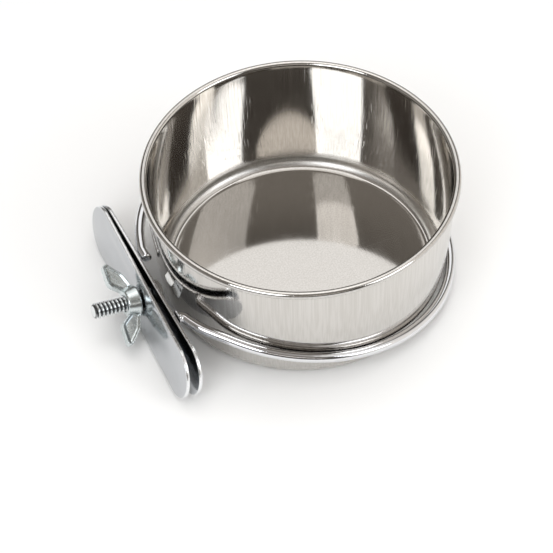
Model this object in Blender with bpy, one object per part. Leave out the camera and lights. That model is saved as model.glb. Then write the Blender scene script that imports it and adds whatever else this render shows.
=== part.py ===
"""Clamp-on crate bowl: a drawn steel bowl in a wire ring with a bolted plate clamp.

Metres, +Z up. The origin is the middle of the bowl's base, and the clamp points along -X.
The bowl stands on the floor and the open holder leans round it. The ring's far side lies on the
floor, its front rests against the bowl's wall, and the clamp is at the raised side.
"""

from math import acos, asin, atan2, cos, hypot, pi, radians, sin, sqrt

import bmesh
import bpy
from mathutils import Matrix

# Clearance between pieces that touch
SEAT_GAP = 0.0003

# Bowl, drawn from one sheet with its rim rolled outwards
RIM_RADIUS = 0.060
BOWL_HEIGHT = 0.053
SHEET = 0.0007
RIM_ROLL_RADIUS = 0.00142
RIM_ROLL_TURN = radians(280)
WALL_TOP_LEAN = radians(0.5)
WALL_FOOT_LEAN = radians(9)
BASE_CORNER_RADIUS = 0.0055
BOWL_STEPS = 80
WALL_STEPS = 8
ROLL_STEPS = 10
CORNER_STEPS = 8

# Wire ring, open at the clamp: its far end lies along the fixed plate, its near end turns out to it
WIRE_RADIUS = 0.002
RING_CLEARANCE = 0.00015
RING_SHIFT_X = -0.00095
RING_FRONT_GAP = 0.0004
HOLDER_LEAN = radians(9.5)
PLATE_STANDOFF = 0.0007
NEAR_END_ANGLE = radians(22)
NEAR_END_FLARE = 0.0018
FAR_END_LAP = 0.003
FLARE_ANGLE = radians(42)
END_BEND_RADIUS = 0.0023
WELD_FLARE = 1.35
RING_STEPS = 90
FLARE_STEPS = 8
BEND_STEPS = 6
WIRE_SIDES_RESOLUTION = 4

# Clamp plates, with round ends
PLATE_LENGTH = 0.0955
PLATE_WIDTH = 0.0222
PLATE_THICKNESS = 0.0014
PLATE_EDGE = 0.0003
PLATE_END_STEPS = 18
HOLE_CLEARANCE = 0.0005
LOOSE_GAP = 0.002
LOOSE_YAW = radians(2)

# Bolt, with its axis below the ring's plane
BOLT_DROP = 0.0105
BOLT_RADIUS = 0.003175
BOLT_LENGTH = 0.0235
BOLT_TIP_CHAMFER = 0.0007
HEAD_ACROSS_FLATS = 0.0111
HEAD_HEIGHT = 0.004
HEAD_CHAMFER = 0.0006
TURNED_STEPS = 36

# Wing nut
NUT_BORE_CLEARANCE = 0.0003
NUT_BASE_RADIUS = 0.0062
NUT_TOP_RADIUS = 0.005
NUT_BOSS_HEIGHT = 0.0052
NUT_EDGE = 0.0004
NUT_TURN = radians(27)
WING_SPAN = 0.0325
WING_HEIGHT = 0.0092
WING_TIP_RADIUS = 0.0013
WING_SHOULDER_OUT = 0.0093
WING_SHOULDER_HEIGHT = 0.0082
WING_SHOULDER_RADIUS = 0.0026
WING_THICKNESS = 0.0034
WING_RIM = 0.0008
WING_DISH = 0.0005
WING_EDGE = 0.00045
WING_ROOT_INSET = 0.0009
WING_TIP_STEPS = 10
WING_SHOULDER_STEPS = 6

# Merge distance for turned profiles, and how far a cutter runs past what it cuts
WELD_DISTANCE = 0.000001
CUT_MARGIN = 0.001

# Edges turning by more than these are shaded sharp, and are rounded
SHARP_EDGE = radians(35)
ROUNDED_EDGE = radians(50)

# The bowl's wall, worked out from its rim roll: it bows in one arc from the roll down to the base's corner
ROLL_CENTRE_R = RIM_RADIUS - RIM_ROLL_RADIUS
ROLL_CENTRE_Z = BOWL_HEIGHT - RIM_ROLL_RADIUS
ROLL_BORE = RIM_ROLL_RADIUS - SHEET
WALL_TOP_RADIUS = ROLL_CENTRE_R - ROLL_BORE * cos(WALL_TOP_LEAN)
WALL_TOP_Z = ROLL_CENTRE_Z + ROLL_BORE * sin(WALL_TOP_LEAN)
WALL_FOOT_Z = BASE_CORNER_RADIUS * (1 - sin(WALL_FOOT_LEAN))
BOW_RADIUS = (WALL_TOP_Z - WALL_FOOT_Z) / (sin(WALL_FOOT_LEAN) - sin(WALL_TOP_LEAN))
BOW_CENTRE_R = WALL_TOP_RADIUS - BOW_RADIUS * cos(WALL_TOP_LEAN)
BOW_CENTRE_Z = WALL_TOP_Z + BOW_RADIUS * sin(WALL_TOP_LEAN)

# The ring and where it lies, worked out from the bowl that it holds
RING_RADIUS = WALL_TOP_RADIUS + RING_CLEARANCE + WIRE_RADIUS
RING_CENTRE_Z = RING_RADIUS * sin(HOLDER_LEAN) + WIRE_RADIUS
WALL_AT_RING = BOW_CENTRE_R + sqrt(BOW_RADIUS ** 2 - (BOW_CENTRE_Z - RING_CENTRE_Z) ** 2)
RING_FRONT_REACH = WALL_AT_RING + RING_FRONT_GAP + WIRE_RADIUS
RING_SHIFT_Y = RING_RADIUS - sqrt(RING_FRONT_REACH ** 2 - RING_SHIFT_X ** 2)

# Distances along the bolt from the ring's centre
PLATE_REACH = RING_RADIUS + PLATE_STANDOFF
WIRE_END = PLATE_REACH - SEAT_GAP
FIXED_FRONT = PLATE_REACH + PLATE_THICKNESS
LOOSE_BACK = FIXED_FRONT + LOOSE_GAP
LOOSE_FRONT = LOOSE_BACK + PLATE_THICKNESS
NUT_SEAT = LOOSE_FRONT + SEAT_GAP + NUT_BASE_RADIUS * sin(LOOSE_YAW)
HEAD_SEAT = PLATE_REACH - SEAT_GAP


def clear_scene():
    for item in list(bpy.data.objects):
        bpy.data.objects.remove(item, do_unlink=True)


def metal(name, colour, roughness):
    """A bare or plated metal finish."""
    material = bpy.data.materials.new(name)
    material.use_nodes = True
    shader = material.node_tree.nodes["Principled BSDF"]
    shader.inputs["Base Color"].default_value = (*colour, 1.0)
    shader.inputs["Roughness"].default_value = roughness
    shader.inputs["Metallic"].default_value = 1.0
    return material


def add_object(name, data, material=None, parent=None, location=(0, 0, 0), rotation=(0, 0, 0)):
    item = bpy.data.objects.new(name, data)
    bpy.context.collection.objects.link(item)
    item.parent = parent
    item.location = location
    item.rotation_euler = rotation
    if material:
        data.materials.append(material)
    return item


def mesh_from(name, shape):
    """Turns a bmesh into a smooth-shaded mesh with its real edges kept sharp."""
    mesh = bpy.data.meshes.new(name)
    shape.to_mesh(mesh)
    shape.free()
    mesh.shade_smooth()
    mesh.set_sharp_from_angle(angle=SHARP_EDGE)
    return mesh


def arc(centre, radius, start, end, steps):
    """Points along an arc in a plane, both ends included."""
    turns = [start + (end - start) * step / steps for step in range(steps + 1)]
    return [(centre[0] + radius * cos(turn), centre[1] + radius * sin(turn)) for turn in turns]


def turned(name, profile, steps, **place):
    """A body turned about its own Z from radius and height pairs, outer side from top to bottom."""
    shape = bmesh.new()
    points = [shape.verts.new((radius, 0, height)) for radius, height in profile]
    for first, second in zip(points, points[1:]):
        shape.edges.new((first, second))
    item = add_object(name, mesh_from(name, shape), **place)
    screw = item.modifiers.new("turn", "SCREW")
    screw.steps = steps
    screw.render_steps = steps
    screw.use_merge_vertices = True
    screw.merge_threshold = WELD_DISTANCE
    return item


def add_bevel(item, width, segments=2):
    bevel = item.modifiers.new("rounded edges", "BEVEL")
    bevel.width = width
    bevel.segments = segments
    bevel.limit_method = "ANGLE"
    bevel.angle_limit = ROUNDED_EDGE


def combine(item, other, operation):
    """Joins, cuts or trims a body with another that is only a tool."""
    other.hide_render = True
    other.display_type = "WIRE"
    boolean = item.modifiers.new(operation.lower(), "BOOLEAN")
    boolean.operation = operation
    boolean.object = other
    boolean.solver = "EXACT"


def prism(name, outline, depth, plane, **place):
    """A flat outline made into a solid, half its depth to each side of its own plane."""
    shape = bmesh.new()
    points = [shape.verts.new(plane(across, along)) for across, along in outline]
    face = shape.faces.new(points)
    face.normal_update()
    normal = face.normal.copy()
    bmesh.ops.translate(shape, verts=points, vec=normal * (depth / 2))
    made = bmesh.ops.extrude_face_region(shape, geom=[face], use_keep_orig=True)
    moved = [part for part in made["geom"] if isinstance(part, bmesh.types.BMVert)]
    bmesh.ops.translate(shape, verts=moved, vec=-normal * depth)
    bmesh.ops.recalc_face_normals(shape, faces=shape.faces)
    return add_object(name, mesh_from(name, shape), **place)


def make_bowl(material):
    roll = (ROLL_CENTRE_R, ROLL_CENTRE_Z)
    bow = (BOW_CENTRE_R, BOW_CENTRE_Z)
    corner = (BOW_CENTRE_R + (BOW_RADIUS - BASE_CORNER_RADIUS) * cos(WALL_FOOT_LEAN), BASE_CORNER_RADIUS)
    roll_start = pi - WALL_TOP_LEAN
    roll_end = roll_start - RIM_ROLL_TURN
    profile = [(0, SHEET)]
    profile += arc(corner, BASE_CORNER_RADIUS - SHEET, -pi / 2, -WALL_FOOT_LEAN, CORNER_STEPS)
    profile += arc(bow, BOW_RADIUS - SHEET, -WALL_FOOT_LEAN, -WALL_TOP_LEAN, WALL_STEPS)[1:-1]
    profile += arc(roll, RIM_ROLL_RADIUS, roll_start, roll_end, ROLL_STEPS)
    profile += arc(roll, ROLL_BORE, roll_end, roll_start, ROLL_STEPS)
    profile += arc(bow, BOW_RADIUS, -WALL_TOP_LEAN, -WALL_FOOT_LEAN, WALL_STEPS)[1:-1]
    profile += arc(corner, BASE_CORNER_RADIUS, -WALL_FOOT_LEAN, -pi / 2, CORNER_STEPS)
    profile += [(0, 0)]
    turned("feeding_bowl", profile, BOWL_STEPS, material=material)


def near_end():
    """The wire's near end, as distances out and across: it eases outwards, then turns to the plate."""
    points = []
    for step in range(1, FLARE_STEPS + 1):
        share = step / FLARE_STEPS
        angle = FLARE_ANGLE + (NEAR_END_ANGLE - FLARE_ANGLE) * share
        radius = RING_RADIUS + NEAR_END_FLARE * share * share * (3 - 2 * share)
        points.append((radius * cos(angle), radius * sin(angle)))
    out, across = points[-1]
    heading = pi / 2 - NEAR_END_ANGLE
    for step in range(1, BEND_STEPS + 1):
        turn = heading * (1 - step / BEND_STEPS)
        points.append((out + END_BEND_RADIUS * (sin(heading) - sin(turn)),
                       across - END_BEND_RADIUS * (cos(turn) - cos(heading))))
    return points + [(WIRE_END, points[-1][1])]


def ring_route():
    """The wire's centre line in the ring's plane, from its far end round to its near end."""
    lap_out = WIRE_END - WIRE_RADIUS
    lap_across = sqrt(RING_RADIUS ** 2 - lap_out ** 2)
    far = [(-lap_out, lap_across - FAR_END_LAP)]
    loop = arc((0, 0), RING_RADIUS, atan2(lap_across, -lap_out), FLARE_ANGLE - pi, RING_STEPS)
    return far + loop + [(-out, -across) for out, across in near_end()]


def make_ring(material, holder):
    route = ring_route()
    curve = bpy.data.curves.new("holder_ring", "CURVE")
    curve.dimensions = "3D"
    curve.bevel_depth = WIRE_RADIUS
    curve.bevel_resolution = WIRE_SIDES_RESOLUTION
    curve.use_fill_caps = True
    wire = curve.splines.new("POLY")
    wire.points.add(len(route) - 1)
    for point, place in zip(wire.points, route):
        point.co = (*place, 0, 1)
    wire.points[-1].radius = WELD_FLARE
    add_object("holder_ring", curve, material=material, parent=holder)


def stadium():
    """Outline of a clamp plate: two straight edges between half-round ends."""
    end_radius = PLATE_WIDTH / 2
    reach = PLATE_LENGTH / 2 - end_radius
    return (arc((reach, 0), end_radius, -pi / 2, pi / 2, PLATE_END_STEPS)
            + arc((-reach, 0), end_radius, pi / 2, 3 * pi / 2, PLATE_END_STEPS))


def make_plate(name, material, bolt_axis, middle, rotation=(0, 0, 0)):
    """A clamp plate across the bolt, with a round hole for it."""
    place = {"material": material, "parent": bolt_axis, "location": (-middle, 0, 0), "rotation": rotation}
    plate = prism(name, stadium(), PLATE_THICKNESS, lambda along, up: (0, along, up), **place)
    add_bevel(plate, PLATE_EDGE)
    hole_radius = BOLT_RADIUS + HOLE_CLEARANCE
    half = PLATE_THICKNESS / 2 + CUT_MARGIN
    profile = [(0, half), (hole_radius, half), (hole_radius, -half), (0, -half)]
    hole = turned(name + "_hole", profile, TURNED_STEPS, parent=plate, rotation=(0, -pi / 2, 0))
    combine(plate, hole, "DIFFERENCE")


def make_bolt(material, bolt_axis):
    place = {"parent": bolt_axis, "location": (-HEAD_SEAT, 0, 0), "rotation": (0, -pi / 2, 0)}
    corner_radius = HEAD_ACROSS_FLATS / sqrt(3)
    profile = [
        (0, BOLT_LENGTH),
        (BOLT_RADIUS - BOLT_TIP_CHAMFER, BOLT_LENGTH),
        (BOLT_RADIUS, BOLT_LENGTH - BOLT_TIP_CHAMFER),
        (BOLT_RADIUS, 0),
        (corner_radius, 0),
        (corner_radius, HEAD_CHAMFER - HEAD_HEIGHT),
        (HEAD_ACROSS_FLATS / 2 - HEAD_CHAMFER, -HEAD_HEIGHT),
        (0, -HEAD_HEIGHT),
    ]
    bolt = turned("clamp_bolt", profile, TURNED_STEPS, material=material, **place)
    flats = [(corner_radius * cos(turn * pi / 3), corner_radius * sin(turn * pi / 3)) for turn in range(6)]
    depth = 2 * (BOLT_LENGTH + CUT_MARGIN)
    hexagon = prism("bolt_flats", flats, depth, lambda across, along: (across, along, 0), **place)
    combine(bolt, hexagon, "INTERSECT")


def tangent_point(point, centre, radius, side):
    """Where a line from a point touches a circle, on the side that a positive or negative sign names."""
    away = (centre[0] - point[0], centre[1] - point[1])
    distance = hypot(*away)
    heading = atan2(away[1], away[0]) + side * asin(radius / distance)
    run = sqrt(distance ** 2 - radius ** 2)
    return point[0] + run * cos(heading), point[1] + run * sin(heading)


def wing_outline():
    """Both wings as one outline across the nut: leaves with a round shoulder and a narrow tip."""
    tip = (WING_SPAN / 2 - WING_TIP_RADIUS, WING_HEIGHT - WING_TIP_RADIUS)
    shoulder = (WING_SHOULDER_OUT, WING_SHOULDER_HEIGHT - WING_SHOULDER_RADIUS)
    root = (NUT_BASE_RADIUS - WING_ROOT_INSET, WING_ROOT_INSET / 2)
    saddle = (NUT_TOP_RADIUS - WING_ROOT_INSET, NUT_BOSS_HEIGHT - WING_ROOT_INSET)
    outer = tangent_point(root, tip, WING_TIP_RADIUS, -1)
    inner = tangent_point(saddle, shoulder, WING_SHOULDER_RADIUS, 1)
    inward = (shoulder[0] - tip[0], shoulder[1] - tip[1])
    spread = acos((WING_TIP_RADIUS - WING_SHOULDER_RADIUS) / hypot(*inward))
    start = atan2(outer[1] - tip[1], outer[0] - tip[0])
    top = atan2(inward[1], inward[0]) % (2 * pi) - spread
    end = atan2(inner[1] - shoulder[1], inner[0] - shoulder[0])
    half = [root] + arc(tip, WING_TIP_RADIUS, start, top, WING_TIP_STEPS)
    half += arc(shoulder, WING_SHOULDER_RADIUS, top, end, WING_SHOULDER_STEPS) + [saddle]
    return half + [(-across, up) for across, up in reversed(half)]


def make_wings(place):
    """The wings with dished faces inside a raised rim."""
    wings = prism("nut_wings", wing_outline(), WING_THICKNESS, lambda across, up: (0, across, up), **place)
    shape = bmesh.new()
    shape.from_mesh(wings.data)
    broad = [face for face in shape.faces if abs(face.normal.x) > abs(face.normal.y) + abs(face.normal.z)]
    bmesh.ops.inset_individual(shape, faces=broad, thickness=WING_RIM, depth=0)
    bmesh.ops.inset_individual(shape, faces=broad, thickness=WING_RIM / 2, depth=-WING_DISH)
    bmesh.ops.rotate(shape, verts=shape.verts, matrix=Matrix.Rotation(-NUT_TURN, 3, "Z"))
    shape.to_mesh(wings.data)
    shape.free()
    add_bevel(wings, WING_EDGE)
    return wings


def make_wing_nut(material, bolt_axis):
    place = {"parent": bolt_axis, "location": (-NUT_SEAT, 0, 0), "rotation": (0, -pi / 2, 0)}
    boss = [
        (0, NUT_BOSS_HEIGHT),
        (NUT_TOP_RADIUS - NUT_EDGE, NUT_BOSS_HEIGHT),
        (NUT_TOP_RADIUS, NUT_BOSS_HEIGHT - NUT_EDGE),
        (NUT_BASE_RADIUS, NUT_EDGE),
        (NUT_BASE_RADIUS - NUT_EDGE, 0),
        (0, 0),
    ]
    nut = turned("wing_nut", boss, TURNED_STEPS, material=material, **place)
    combine(nut, make_wings(place), "UNION")
    bore_radius = BOLT_RADIUS + NUT_BORE_CLEARANCE
    top = WING_HEIGHT + CUT_MARGIN
    bore = [(0, top), (bore_radius, top), (bore_radius, -CUT_MARGIN), (0, -CUT_MARGIN)]
    combine(nut, turned("nut_bore", bore, TURNED_STEPS, **place), "DIFFERENCE")


def build():
    clear_scene()
    stainless = ((0.60, 0.58, 0.55), 0.12)
    chrome = ((0.76, 0.77, 0.79), 0.08)
    satin_zinc = ((0.66, 0.68, 0.71), 0.30)
    bright_zinc = ((0.70, 0.73, 0.74), 0.18)

    holder = add_object("holder_frame", None, rotation=(0, HOLDER_LEAN, 0),
                        location=(RING_SHIFT_X, RING_SHIFT_Y, RING_CENTRE_Z))
    bolt_axis = add_object("bolt_axis", None, parent=holder, location=(0, 0, -BOLT_DROP))

    make_bowl(metal("bowl stainless", *stainless))
    make_ring(metal("ring chrome", *chrome), holder)
    fixed_zinc = metal("fixed plate zinc", *satin_zinc)
    make_plate("fixed_clamp_plate", fixed_zinc, bolt_axis, (PLATE_REACH + FIXED_FRONT) / 2)
    loose_zinc = metal("loose plate zinc", *satin_zinc)
    loose_middle = (LOOSE_BACK + LOOSE_FRONT) / 2
    make_plate("loose_clamp_plate", loose_zinc, bolt_axis, loose_middle, rotation=(0, 0, -LOOSE_YAW))
    make_bolt(metal("bolt zinc", *bright_zinc), bolt_axis)
    make_wing_nut(metal("nut zinc", *bright_zinc), bolt_axis)


build()
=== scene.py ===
"""Clamp-on crate bowl, dressed for its picture: finer pieces, finishes, studio and camera."""

from math import acos, asin, atan2, cos, hypot, pi, radians, sin, sqrt

import bpy
from mathutils import Matrix, Vector


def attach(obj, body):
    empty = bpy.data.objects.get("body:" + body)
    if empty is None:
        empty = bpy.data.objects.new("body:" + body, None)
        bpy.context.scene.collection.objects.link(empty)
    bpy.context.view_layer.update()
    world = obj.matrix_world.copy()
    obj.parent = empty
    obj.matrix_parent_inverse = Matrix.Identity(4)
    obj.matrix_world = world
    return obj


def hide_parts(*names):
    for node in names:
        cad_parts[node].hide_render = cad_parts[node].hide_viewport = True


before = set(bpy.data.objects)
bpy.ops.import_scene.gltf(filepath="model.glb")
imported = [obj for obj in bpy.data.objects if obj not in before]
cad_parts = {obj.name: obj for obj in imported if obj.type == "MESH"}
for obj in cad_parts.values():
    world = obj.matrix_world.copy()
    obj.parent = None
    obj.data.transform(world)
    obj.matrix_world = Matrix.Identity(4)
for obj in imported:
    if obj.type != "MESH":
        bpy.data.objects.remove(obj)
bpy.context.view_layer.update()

# Bowl sizes, in metres as everywhere
RIM_RADIUS = 0.060
BOWL_HEIGHT = 0.053
SHEET = 0.0007
ROLL_RADIUS = 0.00142
ROLL_TURN = radians(290)
WALL_TOP_LEAN = radians(-0.5)
WALL_FOOT_LEAN = radians(8.9)
CORNER_RADIUS = 0.0055

# Wire ring and how the holder lies
WIRE_RADIUS = 0.002
RING_RADIUS = 0.0602
HOLDER_CENTRE = (-0.00095, 0.002594, 0.011905)
HOLDER_LEAN = radians(9.5)
FLARE_ANGLE = radians(42)
NEAR_ANGLE = radians(22)
NEAR_FLARE = 0.0018
END_BEND = 0.0023
END_LAP = 0.004
END_DOME = 0.001
WELD_GROWTH = 1.4
WELD_CURVE = 3

# Clamp: the fixed plate's back lies at its reach from the ring's centre, along the bolt
SEAT_GAP = 0.0003
PLATE_REACH = 0.06071
PLATE_LENGTH = 0.0955
PLATE_WIDTH = 0.0222
PLATE_THICKNESS = 0.0014
PLATE_EDGE = 0.00035
HOLE_RADIUS = 0.003675
JAW_GAP = 0.002
JAW_YAW = radians(2.0)
BOLT_DROP = 0.0105

# Bolt, measured from under its head; half a root and a flank are shares of the thread's pitch
BOLT_RADIUS = 0.003175
BOLT_LENGTH = 0.0235
TIP_CUT = 0.0008
TIP_SPARE = 0.0002
THREAD_PITCH = 0.0016
THREAD_DEPTH = 0.00075
THREAD_START = 0.0022
THREAD_ROOT = 0.09
THREAD_FLANK = 0.30
NECK_TAPER = 0.0004
NECK_SINK = 0.0005
HEAD_SIDES = 6
HEAD_FLATS = 0.0111
HEAD_HEIGHT = 0.004
HEAD_CUT = 0.0004
HEAD_CUT_HEIGHT = 0.0011

# Wing nut: a boss, and wings with a belly below, a shoulder above and a tip
NUT_BASE = 0.0062
NUT_TOP = 0.005
NUT_HEIGHT = 0.0052
NUT_EDGE = 0.0004
NUT_FOOT = 0.0005
NUT_BORE = 0.0034
NUT_TURN = radians(27)
WING_SPAN = 0.0325
WING_HEIGHT = 0.0092
WING_TIP = 0.0013
SHOULDER_OUT = 0.0093
SHOULDER_HEIGHT = 0.0092
SHOULDER_RADIUS = 0.0030
BELLY_OUT = 0.0090
BELLY_HEIGHT = 0.0061
BELLY_RADIUS = 0.0040
WING_THICKNESS = 0.0036
WING_INSET = 0.0009

# The wings' faces are dished by insets, each with a width and a depth, and the casting is softened
WING_DISH = ((0.0003, 0), (0.0005, -0.0005), (0.0004, -0.0003))
CASTING_GRAIN = 0.00018
CASTING_SOFTNESS = 0.5
CASTING_PASSES = 24

# Where the holder's pieces and the bolt's pieces go: the bolt's own Z runs out from below the ring's centre
HOLDER = Matrix.Translation(HOLDER_CENTRE) @ Matrix.Rotation(HOLDER_LEAN, 4, "Y")
BOLT_LINE = HOLDER @ Matrix.Translation((0, 0, -BOLT_DROP)) @ Matrix.Rotation(-pi / 2, 4, "Y")
FIXED_FRONT = PLATE_REACH + PLATE_THICKNESS
LOOSE_BACK = FIXED_FRONT + JAW_GAP
LOOSE_FRONT = LOOSE_BACK + PLATE_THICKNESS
NUT_SEAT = LOOSE_FRONT + SEAT_GAP + NUT_BASE * sin(JAW_YAW)

# How finely curves are divided: faces round a piece, and steps along a stretch
BOWL_FACES = 192
WIRE_FACES = 24
PLATE_FACES = 96
HOLE_FACES = 48
BOLT_FACES = 64
TIP_FACES = 48
HEAD_FACES = 72
NUT_FACES = 64
FLOOR_FACES = 96
ARC_STEPS = 24
ROLL_STEPS = 30
RING_STEPS = 200
STRAIGHT_STEPS = 3
BEND_STEPS = 10
WELD_STEPS = 8
LAP_STEPS = 4
DOME_STEPS = 6
EDGE_STEPS = 4
TURN_STEPS = 20
BELLY_STEPS = 8
TIP_STEPS = 20
SHOULDER_STEPS = 12

# Points this close are one point, and cutters run past their pieces or are so many times as wide
MERGE_DISTANCE = 0.0000005
CUT_MARGIN = 0.001
TIP_TRIM = 1.5
HEAD_TRIM = 1.2

# Edges that turn by more than these are shaded sharp, or are rounded
SHARP_EDGE = radians(35)
SHARP_THREAD = radians(30)
ROUNDED_EDGE = radians(50)

# The photograph's camera, in a studio turned against the part so that it looks along the studio's +Y
STUDIO_TURN = radians(-24.7)
STUDIO = Matrix.Rotation(STUDIO_TURN, 4, "Z")
IMAGE_SIZE = 553
FOCAL_PIXELS = 2500
SENSOR_MILLIMETRES = 36.0
CAMERA_NEAR = 0.01
CAMERA_RISE = radians(49.5)
CAMERA_ROLL = radians(-1.5)
CAMERA_DISTANCE = 0.9684
CAMERA_ASIDE = -0.00966
CAMERA_UP = -0.00468
CAMERA_BASE = 0.0007

# Studio floor, and the distances over which it fades to plain white
FLOOR_RADIUS = 6.0
FLOOR_FADE = (0.07, 0.22)

# Sines of the angles over which the room turns lighter overhead, to the right and to the left
ROOM_RISE = (0.66, 0.90)
ROOM_RIGHTWARD = (0.5, 0.85)
ROOM_LEFTWARD = (0.5, 0.9)

# Heights in the bowl over which its corner's satin starts and ends, and its wall's drawing lines start
CORNER_START = (0.0008, 0.0018)
CORNER_END = (0.0045, 0.0075)
WALL_START = (0.004, 0.011)

# Turn and shift of each set of scratches on the bowl's floor
SCRATCHES = ((0.5, 0.0), (1.4, 3.0), (2.3, 7.0))

# The plates' coarse cut edge, which also carries a painted highlight, starts this far in from their outline,
# and is full at the second distance
CUT_EDGE_AND_HIGHLIGHT = (0.0006, 0.0001)

# Painted shade in the thread's roots ends this far below the crest, and starts between these shares of the
# thread's depth
ROOT_SHADE_TOP = 0.0001
ROOT_SHADE_START = (1.4, 1.1)

# Colours, with full cover in finishes
STEEL_DARK = (0.58, 0.56, 0.53, 1)
STEEL_LIGHT = (0.65, 0.63, 0.605, 1)
WIRE_DARK = (0.74, 0.745, 0.76, 1)
WIRE_LIGHT = (0.80, 0.80, 0.815, 1)
PLATE_DARK = (0.50, 0.515, 0.535, 1)
PLATE_LIGHT = (0.58, 0.595, 0.615, 1)
# The next colour is a painted highlight along the plates' cut edges
PLATE_CUT_HIGHLIGHT = (0.90, 0.91, 0.92, 1)
NUT_DARK = (0.58, 0.645, 0.655, 1)
NUT_LIGHT = (0.75, 0.795, 0.80, 1)
BOLT_BRIGHT = (0.78, 0.80, 0.81, 1)
# The next colour is painted shade in the roots of the bolt's thread
BOLT_ROOT_SHADE = (0.17, 0.175, 0.18, 1)
FLOOR_MATT = (0.9, 0.9, 0.895, 1)
FLOOR_WHITE = (1, 1, 1, 1)
ROOM_LOW = (0.11, 0.10, 0.09, 1)
ROOM_HIGH = (0.34, 0.315, 0.29, 1)
ROOM_RIGHT = (0.95, 0.91, 0.86, 1)
ROOM_LEFT = (0.34, 0.32, 0.30, 1)
LAMP_WHITE = (1.0, 1.0, 1.0)
WINDOW_TINT = (0.93, 0.965, 1.0)
CARD_TINT = (1.0, 0.95, 0.89)

# A Mix node's sockets for colours, by number, since their names are shared with other sockets
MIX_SHARE = 0
MIX_FIRST = 6
MIX_SECOND = 7
MIX_RESULT = 2


# Modelling by hand
def rest_hand():
    """Leaves edit mode and lets go of everything."""
    if bpy.context.object and bpy.context.object.mode != "OBJECT":
        leave()
    bpy.ops.object.select_all(action="DESELECT")


def take(piece):
    """Selects one piece alone."""
    rest_hand()
    piece.select_set(True)
    bpy.context.view_layer.objects.active = piece


def edit():
    """Opens the piece in hand, with all of it selected."""
    bpy.ops.object.mode_set(mode="EDIT")
    bpy.ops.mesh.select_mode(type="VERT")
    bpy.ops.mesh.select_all(action="SELECT")


def leave():
    """Closes the piece in hand."""
    bpy.ops.object.mode_set(mode="OBJECT")


def named(name):
    """Names the piece that was added last."""
    piece = bpy.context.object
    piece.name = name
    piece.data.name = name
    return piece


def fix_place(piece):
    """Moves a piece's place, turn and size into its mesh."""
    take(piece)
    bpy.ops.object.transform_apply(location=True, rotation=True, scale=True)


def pick(piece, test, mode="VERT"):
    """Selects the points or faces that pass a test."""
    bpy.ops.mesh.select_mode(type=mode)
    bpy.ops.mesh.select_all(action="DESELECT")
    leave()
    for part in {"VERT": piece.data.vertices, "FACE": piece.data.polygons}[mode]:
        part.select = bool(test(part))
    bpy.ops.object.mode_set(mode="EDIT")


def arc(centre, radius, start, end, steps):
    """Points along an arc, both ends among them."""
    turns = [start + (end - start) * step / steps for step in range(steps + 1)]
    return [(centre[0] + radius * cos(turn), centre[1] + radius * sin(turn)) for turn in turns]


def draw_line(name, points):
    """One point pulled along a route, as connected edges; stays in edit mode."""
    rest_hand()
    bpy.ops.mesh.primitive_plane_add()
    piece = named(name)
    edit()
    bpy.ops.mesh.merge(type="CENTER")
    bpy.ops.transform.translate(value=points[0])
    for before, after in zip(points, points[1:]):
        step = Vector(after) - Vector(before)
        bpy.ops.mesh.extrude_vertices_move(TRANSFORM_OT_translate={"value": step})
    return piece


def close_up():
    """Merges doubled points and turns all faces outwards."""
    bpy.ops.mesh.select_all(action="SELECT")
    bpy.ops.mesh.remove_doubles(threshold=MERGE_DISTANCE)
    bpy.ops.mesh.normals_make_consistent(inside=False)


def turned(name, profile, faces):
    """A piece spun about Z from radius and height pairs."""
    piece = draw_line(name, [(radius, 0, height) for radius, height in profile])
    bpy.ops.mesh.select_all(action="SELECT")
    bpy.ops.mesh.spin(steps=faces, angle=2 * pi, center=(0, 0, 0), axis=(0, 0, 1))
    close_up()
    leave()
    return piece


def outline_solid(name, points, depth):
    """A closed outline in the YZ plane filled and pulled to a depth along X, half to each side."""
    piece = draw_line(name, [(-depth / 2, across, up) for across, up in points])
    bpy.ops.mesh.select_all(action="SELECT")
    bpy.ops.mesh.edge_face_add()
    bpy.ops.mesh.extrude_region_move(TRANSFORM_OT_translate={"value": (depth, 0, 0)})
    close_up()
    leave()
    return piece


def apply_modifiers(piece):
    """Makes a piece's modifiers part of its mesh."""
    take(piece)
    for modifier in list(piece.modifiers):
        bpy.ops.object.modifier_apply(modifier=modifier.name)


def carve(piece, other, operation):
    """Joins, cuts or trims a piece with another, which is used up."""
    boolean = piece.modifiers.new("carve", "BOOLEAN")
    boolean.operation = operation
    boolean.solver = "EXACT"
    boolean.object = other
    apply_modifiers(piece)
    bpy.data.objects.remove(other, do_unlink=True)


def settle(piece, place, sharp=SHARP_EDGE):
    """Puts a finished piece where it belongs, and shades it smooth between its sharp edges."""
    piece.matrix_world = place
    fix_place(piece)
    bpy.ops.object.shade_smooth_by_angle(angle=sharp)


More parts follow.
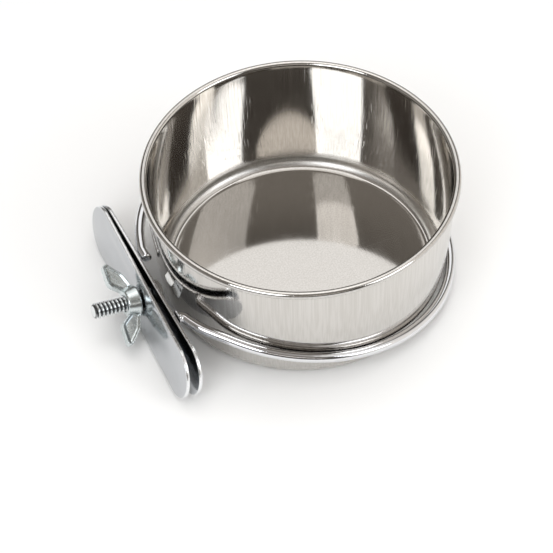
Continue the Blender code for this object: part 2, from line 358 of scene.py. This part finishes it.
# Bowl
def make_bowl():
    """One sheet: a flat base, a rounded corner, a bowed wall and a rim rolled outwards."""
    roll = (RIM_RADIUS - ROLL_RADIUS, BOWL_HEIGHT - ROLL_RADIUS)
    bore = ROLL_RADIUS - SHEET
    start = pi - WALL_TOP_LEAN
    end = start - ROLL_TURN
    top = (roll[0] + bore * cos(start), roll[1] + bore * sin(start))
    bow = (top[1] - CORNER_RADIUS * (1 - sin(WALL_FOOT_LEAN))) / (sin(WALL_FOOT_LEAN) - sin(WALL_TOP_LEAN))
    middle = (top[0] - bow * cos(WALL_TOP_LEAN), top[1] + bow * sin(WALL_TOP_LEAN))
    corner = (middle[0] + (bow - CORNER_RADIUS) * cos(WALL_FOOT_LEAN), CORNER_RADIUS)
    profile = [(0, SHEET)]
    profile += arc(corner, CORNER_RADIUS - SHEET, -pi / 2, -WALL_FOOT_LEAN, ARC_STEPS)
    profile += arc(middle, bow - SHEET, -WALL_FOOT_LEAN, -WALL_TOP_LEAN, ARC_STEPS)[1:-1]
    profile += arc(roll, ROLL_RADIUS, start, end, ROLL_STEPS)
    profile += arc(roll, bore, end, start, ARC_STEPS)
    profile += arc(middle, bow, -WALL_TOP_LEAN, -WALL_FOOT_LEAN, ARC_STEPS)[1:-1]
    profile += arc(corner, CORNER_RADIUS, -WALL_FOOT_LEAN, -pi / 2, ARC_STEPS)
    profile += [(0, 0)]
    bowl = turned("bowl_shell", profile, BOWL_FACES)
    settle(bowl, Matrix.Identity(4))
    return bowl


# Wire ring
def ahead(heading):
    """A step of length 1 along a heading."""
    return Vector((cos(heading), sin(heading), 0))


def leftward(heading):
    """A step of length 1 to the left of a heading."""
    return Vector((-sin(heading), cos(heading), 0))


def wire_step(length, heading):
    """Pulls the wire's selected end straight on."""
    bpy.ops.mesh.extrude_region_move(TRANSFORM_OT_translate={"value": length * ahead(heading)})


def wire_bend(steps, angle, centre):
    """Pulls the wire's selected end round a centre."""
    bpy.ops.mesh.spin(steps=steps, angle=angle, center=centre, axis=(0, 0, 1))


def bend_near_end(start):
    """Runs the wire straight, back to the circle's course, and out to its weld on the plate."""
    heading = start - pi / 2
    course = FLARE_ANGLE - NEAR_ANGLE
    ease = (RING_RADIUS - (RING_RADIUS + NEAR_FLARE) * cos(course)) / (1 - cos(course))
    straight = (RING_RADIUS + NEAR_FLARE - ease) * sin(course)
    for _ in range(STRAIGHT_STEPS):
        wire_step(straight / STRAIGHT_STEPS, heading)
    place = RING_RADIUS * ahead(start) + straight * ahead(heading)
    centre = place - ease * leftward(heading)
    wire_bend(BEND_STEPS, course, centre)
    heading -= course
    place = centre + ease * leftward(heading)
    turn_out = (-pi - heading) % (2 * pi)
    centre = place + END_BEND * leftward(heading)
    wire_bend(BEND_STEPS, -turn_out, centre)
    place = centre - END_BEND * leftward(heading + turn_out)
    run = PLATE_REACH - SEAT_GAP + place.x
    swell = [1 + (WELD_GROWTH - 1) * (step / WELD_STEPS) ** WELD_CURVE for step in range(WELD_STEPS + 1)]
    for before, after in zip(swell, swell[1:]):
        wire_step(run / WELD_STEPS, pi)
        bpy.ops.transform.resize(value=(1, after / before, after / before))
    bpy.ops.mesh.edge_face_add()


def lay_far_end(ring):
    """Leads the wire's first end off the circle and along the plate, and rounds it off."""
    pick(ring, lambda point: point.index < WIRE_FACES)
    for _ in range(LAP_STEPS):
        wire_step(END_LAP / LAP_STEPS, -pi / 2)
    turns = [step * pi / 2 / DOME_STEPS for step in range(DOME_STEPS)]
    for before, after in zip(turns, turns[1:]):
        wire_step(END_DOME * (sin(after) - sin(before)), -pi / 2)
        shrink = cos(after) / cos(before)
        bpy.ops.transform.resize(value=(shrink, 1, shrink))
    bpy.ops.mesh.edge_face_add()


def make_ring():
    """A round section swept about the ring's centre, then worked at both ends."""
    lap_out = PLATE_REACH - SEAT_GAP - WIRE_RADIUS
    lap_across = sqrt(RING_RADIUS ** 2 - lap_out ** 2)
    first = atan2(lap_across, -lap_out)
    last = FLARE_ANGLE - pi
    rest_hand()
    bpy.ops.mesh.primitive_circle_add(
        vertices=WIRE_FACES, radius=WIRE_RADIUS,
        rotation=(pi / 2, 0, first), location=RING_RADIUS * ahead(first))
    ring = named("ring_wire")
    fix_place(ring)
    edit()
    wire_bend(RING_STEPS, first - last, (0, 0, 0))
    bend_near_end(last)
    lay_far_end(ring)
    close_up()
    leave()
    settle(ring, HOLDER)
    return ring


# Clamp
def make_plate(name, place):
    """A disc pulled apart to a round-ended plate, thickened, drilled and rounded off."""
    rest_hand()
    bpy.ops.mesh.primitive_circle_add(
        vertices=PLATE_FACES, radius=PLATE_WIDTH / 2, fill_type="NGON", rotation=(0, 0, pi / PLATE_FACES))
    plate = named(name)
    fix_place(plate)
    edit()
    pull = (PLATE_LENGTH - PLATE_WIDTH) / 2
    for side in (1, -1):
        pick(plate, lambda point: point.co.y * side > 0)
        bpy.ops.transform.translate(value=(0, side * pull, 0))
    bpy.ops.mesh.select_all(action="SELECT")
    bpy.ops.mesh.extrude_region_move(TRANSFORM_OT_translate={"value": (0, 0, PLATE_THICKNESS)})
    bpy.ops.mesh.select_all(action="SELECT")
    bpy.ops.transform.translate(value=(0, 0, -PLATE_THICKNESS / 2))
    close_up()
    leave()
    tall = PLATE_THICKNESS * 2
    drill = turned("drill", [(0, tall), (HOLE_RADIUS, tall), (HOLE_RADIUS, -tall), (0, -tall)], HOLE_FACES)
    carve(plate, drill, "DIFFERENCE")
    bevel = plate.modifiers.new("edges", "BEVEL")
    bevel.width = PLATE_EDGE
    bevel.segments = EDGE_STEPS
    bevel.limit_method = "ANGLE"
    bevel.angle_limit = ROUNDED_EDGE
    apply_modifiers(plate)
    settle(plate, place)
    return plate


def thread_radius(turn):
    """Radius round the bolt in a cut across it: a root, a flank up, a crest and a flank down."""
    share = (turn / (2 * pi)) % 1.0
    rise = (0.5 - abs(share - 0.5) - THREAD_ROOT) / THREAD_FLANK
    return BOLT_RADIUS - THREAD_DEPTH + THREAD_DEPTH * min(max(rise, 0.0), 1.0)


def make_thread():
    """A cut across the thread, swept along the bolt as it turns and closed at both ends."""
    turns = [2 * pi * step / BOLT_FACES for step in range(BOLT_FACES + 1)]
    thread = draw_line("bolt_thread", [thread_radius(turn) * ahead(turn) for turn in turns])
    close_up()
    leave()
    length = BOLT_LENGTH - THREAD_START
    sweep = thread.modifiers.new("thread", "SCREW")
    sweep.axis = "Z"
    sweep.angle = 2 * pi * length / THREAD_PITCH
    sweep.screw_offset = length
    sweep.steps = sweep.render_steps = int(length / THREAD_PITCH * TURN_STEPS)
    sweep.use_merge_vertices = False
    apply_modifiers(thread)
    edit()
    for end in (length, 0):
        pick(thread, lambda point: abs(point.co.z - end) < MERGE_DISTANCE)
        bpy.ops.mesh.edge_face_add()
    close_up()
    bpy.ops.transform.translate(value=(0, 0, THREAD_START))
    leave()
    return thread


def make_head():
    """A hexagon whose outer corners are trimmed by a cone."""
    corner = HEAD_FLATS / sqrt(3)
    rest_hand()
    bpy.ops.mesh.primitive_circle_add(
        vertices=HEAD_SIDES, radius=corner, fill_type="NGON", location=(0, 0, -HEAD_HEIGHT))
    head = named("head")
    fix_place(head)
    edit()
    bpy.ops.mesh.extrude_region_move(TRANSFORM_OT_translate={"value": (0, 0, HEAD_HEIGHT)})
    close_up()
    leave()
    wide = corner * HEAD_TRIM
    cone = turned("head_trim", [
        (0, CUT_MARGIN), (wide, CUT_MARGIN), (wide, -HEAD_HEIGHT + HEAD_CUT_HEIGHT),
        (HEAD_FLATS / 2 - HEAD_CUT, -HEAD_HEIGHT), (0, -HEAD_HEIGHT)], HEAD_FACES)
    carve(head, cone, "INTERSECT")
    return head


def make_bolt():
    """A thread trimmed to a cone at its tip, with a plain neck and a hexagon head."""
    bolt = make_thread()
    wide = BOLT_RADIUS * TIP_TRIM
    low = THREAD_START - CUT_MARGIN
    trim = turned("tip_trim", [
        (0, BOLT_LENGTH), (BOLT_RADIUS - TIP_CUT, BOLT_LENGTH),
        (BOLT_RADIUS + TIP_SPARE, BOLT_LENGTH - TIP_CUT - TIP_SPARE),
        (wide, BOLT_LENGTH - 2 * TIP_CUT), (wide, low), (0, low)], TIP_FACES)
    carve(bolt, trim, "INTERSECT")
    root = BOLT_RADIUS - THREAD_DEPTH
    neck = turned("neck", [
        (0, THREAD_START + NECK_TAPER), (root, THREAD_START + NECK_TAPER),
        (BOLT_RADIUS, THREAD_START - NECK_TAPER), (BOLT_RADIUS, -NECK_SINK), (0, -NECK_SINK)], BOLT_FACES)
    carve(bolt, neck, "UNION")
    carve(bolt, make_head(), "UNION")
    settle(bolt, BOLT_LINE @ Matrix.Translation((0, 0, PLATE_REACH - SEAT_GAP)), SHARP_THREAD)
    return bolt


def touch_point(point, centre, radius, side):
    """Where a line from a point touches a circle."""
    away = Vector(centre) - Vector(point)
    heading = atan2(away.y, away.x) + side * asin(radius / away.length)
    run = sqrt(away.length ** 2 - radius ** 2)
    return point[0] + run * cos(heading), point[1] + run * sin(heading)


def wing_outline():
    """Both wings across the nut: leaves with a full belly, a round shoulder and a narrow tip."""
    tip = (WING_SPAN / 2 - WING_TIP, WING_HEIGHT - WING_TIP)
    shoulder = (SHOULDER_OUT, SHOULDER_HEIGHT - SHOULDER_RADIUS)
    root = (NUT_BASE - WING_INSET, WING_INSET / 2)
    saddle = (NUT_TOP - WING_INSET, NUT_HEIGHT - WING_INSET)
    belly = (BELLY_OUT, BELLY_HEIGHT)
    outer = touch_point(root, belly, BELLY_RADIUS, -1)
    inner = touch_point(saddle, shoulder, SHOULDER_RADIUS, 1)
    outward = (tip[0] - belly[0], tip[1] - belly[1])
    inward = (shoulder[0] - tip[0], shoulder[1] - tip[1])
    start = atan2(outer[1] - belly[1], outer[0] - belly[0])
    turn = atan2(outward[1], outward[0]) - acos((BELLY_RADIUS - WING_TIP) / hypot(*outward))
    top = atan2(inward[1], inward[0]) % (2 * pi) - acos((WING_TIP - SHOULDER_RADIUS) / hypot(*inward))
    end = atan2(inner[1] - shoulder[1], inner[0] - shoulder[0])
    half = [root]
    half += arc(belly, BELLY_RADIUS, start, turn, BELLY_STEPS)
    half += arc(tip, WING_TIP, turn, top, TIP_STEPS)
    half += arc(shoulder, SHOULDER_RADIUS, top, end, SHOULDER_STEPS)
    half += [saddle]
    return half + [(-across, up) for across, up in reversed(half)]


def make_wing_nut():
    """A turned boss with dished wings, run together as one casting."""
    wings = outline_solid("wings", wing_outline(), WING_THICKNESS)
    take(wings)
    edit()
    pick(wings, lambda face: abs(face.normal.x) > hypot(face.normal.y, face.normal.z), "FACE")
    for width, depth in WING_DISH:
        bpy.ops.mesh.inset(thickness=width, depth=depth, use_individual=True)
    bpy.ops.mesh.select_all(action="SELECT")
    bpy.ops.transform.rotate(value=NUT_TURN, orient_axis="Z", center_override=(0, 0, 0))
    close_up()
    leave()
    nut = turned("wing_nut_body", [
        (0, NUT_HEIGHT), (NUT_TOP - NUT_EDGE, NUT_HEIGHT), (NUT_TOP, NUT_HEIGHT - NUT_EDGE),
        (NUT_BASE, NUT_FOOT), (NUT_BASE - NUT_EDGE, 0), (0, 0)], NUT_FACES)
    carve(nut, wings, "UNION")
    remesh = nut.modifiers.new("casting", "REMESH")
    remesh.mode = "VOXEL"
    remesh.voxel_size = CASTING_GRAIN
    smooth = nut.modifiers.new("soft edges", "SMOOTH")
    smooth.factor = CASTING_SOFTNESS
    smooth.iterations = CASTING_PASSES
    apply_modifiers(nut)
    tall = WING_HEIGHT * 2
    bore = turned("bore", [(0, tall), (NUT_BORE, tall), (NUT_BORE, -CUT_MARGIN), (0, -CUT_MARGIN)], NUT_FACES)
    carve(nut, bore, "DIFFERENCE")
    settle(nut, BOLT_LINE @ Matrix.Translation((0, 0, NUT_SEAT)))
    return nut


# Finishes
class Signal:
    """A node's socket whose arithmetic adds Math nodes to its finish."""

    def __init__(self, finish, socket):
        self.finish = finish
        self.socket = socket

    def maths(self, operation, *values):
        """One Math node on these values."""
        return self.finish.add("ShaderNodeMath", {"operation": operation}, dict(enumerate(values)))

    def __add__(self, other):
        return self.maths("ADD", self, other)

    __radd__ = __add__

    def __sub__(self, other):
        return self.maths("SUBTRACT", self, other)

    def __rsub__(self, other):
        return self.maths("SUBTRACT", other, self)

    def __mul__(self, other):
        return self.maths("MULTIPLY", self, other)

    __rmul__ = __mul__

    def __pow__(self, other):
        return self.maths("POWER", self, other)

    def __abs__(self):
        return self.maths("ABSOLUTE", self)

    def at_least(self, low):
        """This value, or low where it is lower."""
        return self.maths("MAXIMUM", self, low)

    def smooth(self, low, high):
        """0 below low and 1 above high, with a soft change between."""
        return self.finish.add(
            "ShaderNodeMapRange", {"interpolation_type": "SMOOTHSTEP"},
            {"Value": self, "From Min": low, "From Max": high})


class Finish:
    """The nodes of a material or of the world, with one method that adds any node."""

    def __init__(self, owner):
        owner.use_nodes = True
        self.owner = owner
        self.nodes = owner.node_tree.nodes
        self.links = owner.node_tree.links

    def put(self, socket, value):
        """Links a signal to a socket, or sets the socket to a plain value."""
        if isinstance(value, Signal):
            self.links.new(value.socket, socket)
        else:
            socket.default_value = value

    def add(self, kind, settings, sockets, output=0):
        """Adds a node, and gives one of its outputs."""
        node = self.nodes.new(kind)
        for name, value in settings.items():
            setattr(node, name, value)
        for name, value in sockets.items():
            self.put(node.inputs[name], value)
        return Signal(self, node.outputs[output])

    def place(self):
        """Object coordinates."""
        return self.add("ShaderNodeTexCoord", {}, {}, "Object")

    def split(self, vector):
        """A vector's three values."""
        first = self.add("ShaderNodeSeparateXYZ", {}, {0: vector})
        return [Signal(self, socket) for socket in first.socket.node.outputs]

    def vectors(self, operation, *values, output=0):
        """One Vector Math node on these values."""
        return self.add("ShaderNodeVectorMath", {"operation": operation}, dict(enumerate(values)), output)

    def stretched(self, scale, turn=(0, 0, 0), shift=(0, 0, 0)):
        """Object coordinates stretched, turned and moved."""
        return self.add("ShaderNodeMapping", {"vector_type": "POINT"},
                        {"Vector": self.place(), "Location": shift, "Rotation": turn, "Scale": scale})

    def noise(self, scale, turn=(0, 0, 0), shift=(0, 0, 0), detail=2, roughness=0.5):
        """Noise with so many grains to the metre along X, Y and Z."""
        vector = self.stretched(scale, turn, shift)
        return self.add("ShaderNodeTexNoise", {}, {
            "Vector": vector, "Scale": 1.0, "Detail": detail, "Roughness": roughness})

    def even_noise(self, scale, detail=2, roughness=0.5):
        """Noise with the same grain in all directions."""
        return self.noise((scale, scale, scale), detail=detail, roughness=roughness)

    def blend(self, share, first, second):
        """A colour between two colours."""
        sockets = {MIX_SHARE: share, MIX_FIRST: first, MIX_SECOND: second}
        return self.add("ShaderNodeMix", {"data_type": "RGBA"}, sockets, MIX_RESULT)

    def metal(self, colour, roughness, height, depth):
        """Ends a metal's finish, with a relief of so many metres for a height of 1."""
        relief = self.add("ShaderNodeBump", {}, {"Strength": 1.0, "Distance": depth, "Height": height})
        sockets = self.nodes["Principled BSDF"].inputs
        self.put(sockets["Metallic"], 1.0)
        self.put(sockets["Base Color"], colour)
        self.put(sockets["Roughness"], roughness)
        self.put(sockets["Normal"], relief)
        return self.owner


def new_finish(name):
    """An empty finish on a new material."""
    return Finish(bpy.data.materials.new(name))


def drawn_stainless():
    """Polished steel: drawing lines up the wall, a satin corner, and a brushed floor with stray scratches."""
    finish = new_finish("drawn stainless")
    up = finish.split(finish.place())[2]
    wall = up.smooth(*WALL_START)
    corner = up.smooth(*CORNER_START) * (1 - up.smooth(*CORNER_END))
    lines = finish.noise((1700, 1700, 8), detail=1)
    broad = finish.noise((300, 300, 5), detail=1)
    hoops = finish.noise((25, 25, 2200))
    scores = finish.noise((1300, 1300, 5), shift=(7, 3, 0), detail=1).smooth(0.60, 0.74)
    brushed = finish.noise((1600, 40, 40), turn=(0, 0, -STUDIO_TURN))
    smudge = finish.even_noise(90, detail=5, roughness=0.6)
    scratch = sum(finish.noise((35, 1500, 35), (0, 0, turn), (shift, shift, 0), detail=1).smooth(0.70, 0.78)
                  for turn, shift in SCRATCHES)
    drawn = lines + broad * 0.4 + hoops * 0.3 + scores * 1.6
    texture = wall * drawn + (1 - wall) * (brushed * 0.6 + smudge * 0.12 - scratch * 0.3)
    roughness = 0.04 + wall * lines * 0.06 + (1 - wall) * (0.03 + scratch * 0.04)
    roughness = roughness + corner * 0.24 + smudge.smooth(0.45, 0.8) * 0.04
    streak = lines * 0.85 + broad * 0.15
    colour = finish.blend(streak.smooth(0.3, 0.7), STEEL_DARK, STEEL_LIGHT)
    return finish.metal(colour, roughness, height=texture, depth=0.000005)


def bright_wire():
    """Bright plating over slightly uneven wire."""
    finish = new_finish("bright wire")
    ripple = finish.even_noise(420, detail=3)
    grain = finish.even_noise(3000)
    colour = finish.blend(ripple, WIRE_DARK, WIRE_LIGHT)
    return finish.metal(colour, 0.03 + ripple * 0.05, height=ripple + grain * 0.2, depth=0.00003)


def satin_zinc():
    """Zinc plating, smooth on the faces of the plates and coarse along their cut edges, where a lighter
    colour is a painted highlight.
    """
    finish = new_finish("satin zinc")
    middle = Matrix.Rotation(-HOLDER_LEAN, 4, "Y") @ BOLT_LINE.translation
    along, up = finish.split(finish.stretched((1, 1, 1), (0, -HOLDER_LEAN, 0), -middle))[1:]
    beyond = (abs(along) - (PLATE_LENGTH - PLATE_WIDTH) / 2).at_least(0.0)
    outward = (beyond * beyond + up * up) ** 0.5
    edge = outward.smooth(*(PLATE_WIDTH / 2 - inset for inset in CUT_EDGE_AND_HIGHLIGHT))
    cloud = finish.even_noise(260, detail=5, roughness=0.6)
    grain = finish.noise((4200, 500, 4200), detail=3)
    pits = finish.even_noise(1500, detail=3)
    colour = finish.blend(cloud, PLATE_DARK, PLATE_LIGHT)
    # Painted highlight: a lighter colour laid all along the cut edges, speckled by the pits
    colour = finish.blend(edge * (0.4 + pits), colour, PLATE_CUT_HIGHLIGHT)
    roughness = 0.08 + cloud * 0.08 + grain * 0.04 + edge * pits * 0.2
    return finish.metal(colour, roughness, height=grain * 0.3 + edge * pits * 6, depth=0.000012)


def bright_zinc():
    """Bright zinc on the cast nut, cloudy and softly grained."""
    finish = new_finish("bright zinc")
    cloud = finish.even_noise(500, detail=4)
    grain = finish.even_noise(3600)
    colour = finish.blend(cloud, NUT_DARK, NUT_LIGHT)
    return finish.metal(colour, 0.18 + cloud * 0.16, height=grain + cloud, depth=0.00001)


def cut_zinc():
    """Bright zinc on the bolt, with painted shade darkening the bottom of its thread."""
    finish = new_finish("cut zinc")
    line = BOLT_LINE.to_3x3() @ Vector((0, 0, 1))
    offset = finish.vectors("SUBTRACT", finish.place(), BOLT_LINE.translation)
    radius = finish.vectors("LENGTH", finish.vectors("CROSS_PRODUCT", offset, line), output="Value")
    # Painted shade: the colour darkens towards the roots of the thread, where shade falls
    below_crest = 1 - radius.smooth(BOLT_RADIUS - THREAD_DEPTH, BOLT_RADIUS - ROOT_SHADE_TOP)
    root_shade = below_crest * radius.smooth(*(BOLT_RADIUS - THREAD_DEPTH * share for share in ROOT_SHADE_START))
    grain = finish.even_noise(2600, detail=3)
    colour = finish.blend(root_shade, BOLT_BRIGHT, BOLT_ROOT_SHADE)
    return finish.metal(colour, 0.08 + root_shade * 0.14 + grain * 0.05, height=grain, depth=0.000008)


# Studio
def make_floor():
    """A matt disc that takes shadows near the object and looks plain white further out."""
    rest_hand()
    bpy.ops.mesh.primitive_circle_add(vertices=FLOOR_FACES, radius=FLOOR_RADIUS, fill_type="NGON")
    floor = named("studio_floor")
    finish = new_finish("white sweep")
    x, y = finish.split(finish.place())[:2]
    away = (x * x + y * y) ** 0.5
    rays = ("Is Camera Ray", "Is Glossy Ray", "Is Transmission Ray")
    seen = sum(finish.add("ShaderNodeLightPath", {}, {}, ray) for ray in rays)
    share = seen * away.smooth(*FLOOR_FADE)
    matt = finish.add("ShaderNodeBsdfDiffuse", {}, {"Color": FLOOR_MATT})
    white = finish.add("ShaderNodeEmission", {}, {"Color": FLOOR_WHITE, "Strength": 1.0})
    mixed = finish.add("ShaderNodeMixShader", {}, {0: share, 1: matt, 2: white})
    finish.put(finish.nodes["Material Output"].inputs["Surface"], mixed)
    floor.data.materials.append(finish.owner)


def softbox(name, bearing, distance, size, radiance, colour=LAMP_WHITE, shape="RECTANGLE", upright=False):
    """A soft lamp, upright or facing the object.

    Its bearing is an azimuth from the camera's side, positive to the right, and an elevation, in degrees.
    """
    lamp = bpy.data.lights.new(name, "AREA")
    lamp.shape = shape
    lamp.size, lamp.size_y = size
    lamp.energy = radiance * pi * size[0] * size[1]
    lamp.color = colour
    item = bpy.data.objects.new(name, lamp)
    bpy.context.collection.objects.link(item)
    azimuth, elevation = radians(bearing[0]), radians(bearing[1])
    back = Vector((sin(azimuth) * cos(elevation), -cos(azimuth) * cos(elevation), sin(elevation)))
    facing = Vector((back.x, back.y, 0)) if upright else back
    place = Matrix.Translation(back * distance) @ facing.to_track_quat("Z", "Y").to_matrix().to_4x4()
    item.matrix_world = STUDIO @ place
    return item


def make_light():
    """A dim room that is lighter overhead and to the sides, with the windows, card and panels in it."""
    world = bpy.context.scene.world or bpy.data.worlds.new("studio")
    bpy.context.scene.world = world
    finish = Finish(world)
    x, y, rise = finish.split(finish.add("ShaderNodeTexCoord", {}, {}, "Generated"))
    side = x * cos(STUDIO_TURN) + y * sin(STUDIO_TURN)
    room = finish.blend(rise.smooth(*ROOM_RISE), ROOM_LOW, ROOM_HIGH)
    room = finish.blend(side.smooth(*ROOM_RIGHTWARD), room, ROOM_RIGHT)
    room = finish.blend((-1 * side).smooth(*ROOM_LEFTWARD), room, ROOM_LEFT)
    finish.put(finish.nodes["Background"].inputs["Color"], room)
    softbox("window_left", (-30, 38), 1.3, (0.66, 0.58), 3.2, WINDOW_TINT)
    softbox("window_right", (58, 35), 1.3, (0.58, 0.48), 3.2, WINDOW_TINT)
    softbox("upper_left", (-32, 60), 1.6, (0.50, 1.05), 0.60, upright=True)
    softbox("lower_left", (-32, 54.5), 1.38, (0.50, 0.52), 0.70, upright=True)
    softbox("upper_right", (78, 60), 1.6, (1.00, 1.05), 0.60, upright=True)
    softbox("beige_card", (7, 33), 1.3, (1.0, 0.17), 0.95, CARD_TINT, "ELLIPSE")
    softbox("sky_panel", (180, 55), 1.3, (1.2, 1.1), 1.0)
    softbox("ceiling_panel", (180, 82), 1.5, (0.9, 0.7), 1.0)
    overhead_fill = softbox("overhead_fill", (0, 75), 1.6, (2.2, 2.2), 1.07)
    overhead_fill.visible_glossy = False


def make_camera():
    """The photograph's viewpoint: along the studio's +Y, from above, a little rolled and off centre."""
    data = bpy.data.cameras.new("photo_camera")
    data.sensor_width = SENSOR_MILLIMETRES
    data.lens = SENSOR_MILLIMETRES * FOCAL_PIXELS / IMAGE_SIZE
    data.clip_start = CAMERA_NEAR
    camera = bpy.data.objects.new("photo_camera", data)
    bpy.context.collection.objects.link(camera)
    target = Vector((0, 0, CAMERA_BASE))
    back = Vector((0, -cos(CAMERA_RISE), sin(CAMERA_RISE)))
    right = Vector((1, 0, 0))
    up = back.cross(right)
    aside = right * cos(CAMERA_ROLL) + up * sin(CAMERA_ROLL)
    upright = up * cos(CAMERA_ROLL) - right * sin(CAMERA_ROLL)
    place = Matrix((aside, upright, back)).transposed().to_4x4()
    place.translation = target + back * CAMERA_DISTANCE + aside * CAMERA_ASIDE + upright * CAMERA_UP
    camera.matrix_world = STUDIO @ place
    bpy.context.scene.camera = camera


def dress(piece, material, body, node):
    """Gives a piece its finish and its body, and hides the part's node that it stands for."""
    piece.data.materials.clear()
    piece.data.materials.append(material)
    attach(piece, body)
    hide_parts(node)


def build():
    """Sets up the studio, and makes and dresses every piece."""
    bpy.context.scene.view_settings.view_transform = "Standard"
    make_camera()
    make_light()
    make_floor()
    zinc_plate = satin_zinc()
    fixed_place = BOLT_LINE @ Matrix.Translation((0, 0, (PLATE_REACH + FIXED_FRONT) / 2))
    loose_place = BOLT_LINE @ Matrix.Translation((0, 0, (LOOSE_BACK + LOOSE_FRONT) / 2))
    loose_place = loose_place @ Matrix.Rotation(-JAW_YAW, 4, "X")
    dress(make_bowl(), drawn_stainless(), "bowl", "feeding_bowl")
    dress(make_ring(), bright_wire(), "holder", "holder_ring")
    dress(make_plate("fixed_plate", fixed_place), zinc_plate, "holder", "fixed_clamp_plate")
    dress(make_plate("loose_plate", loose_place), zinc_plate, "jaw", "loose_clamp_plate")
    dress(make_bolt(), cut_zinc(), "holder", "clamp_bolt")
    dress(make_wing_nut(), bright_zinc(), "nut", "wing_nut")
    rest_hand()


build()
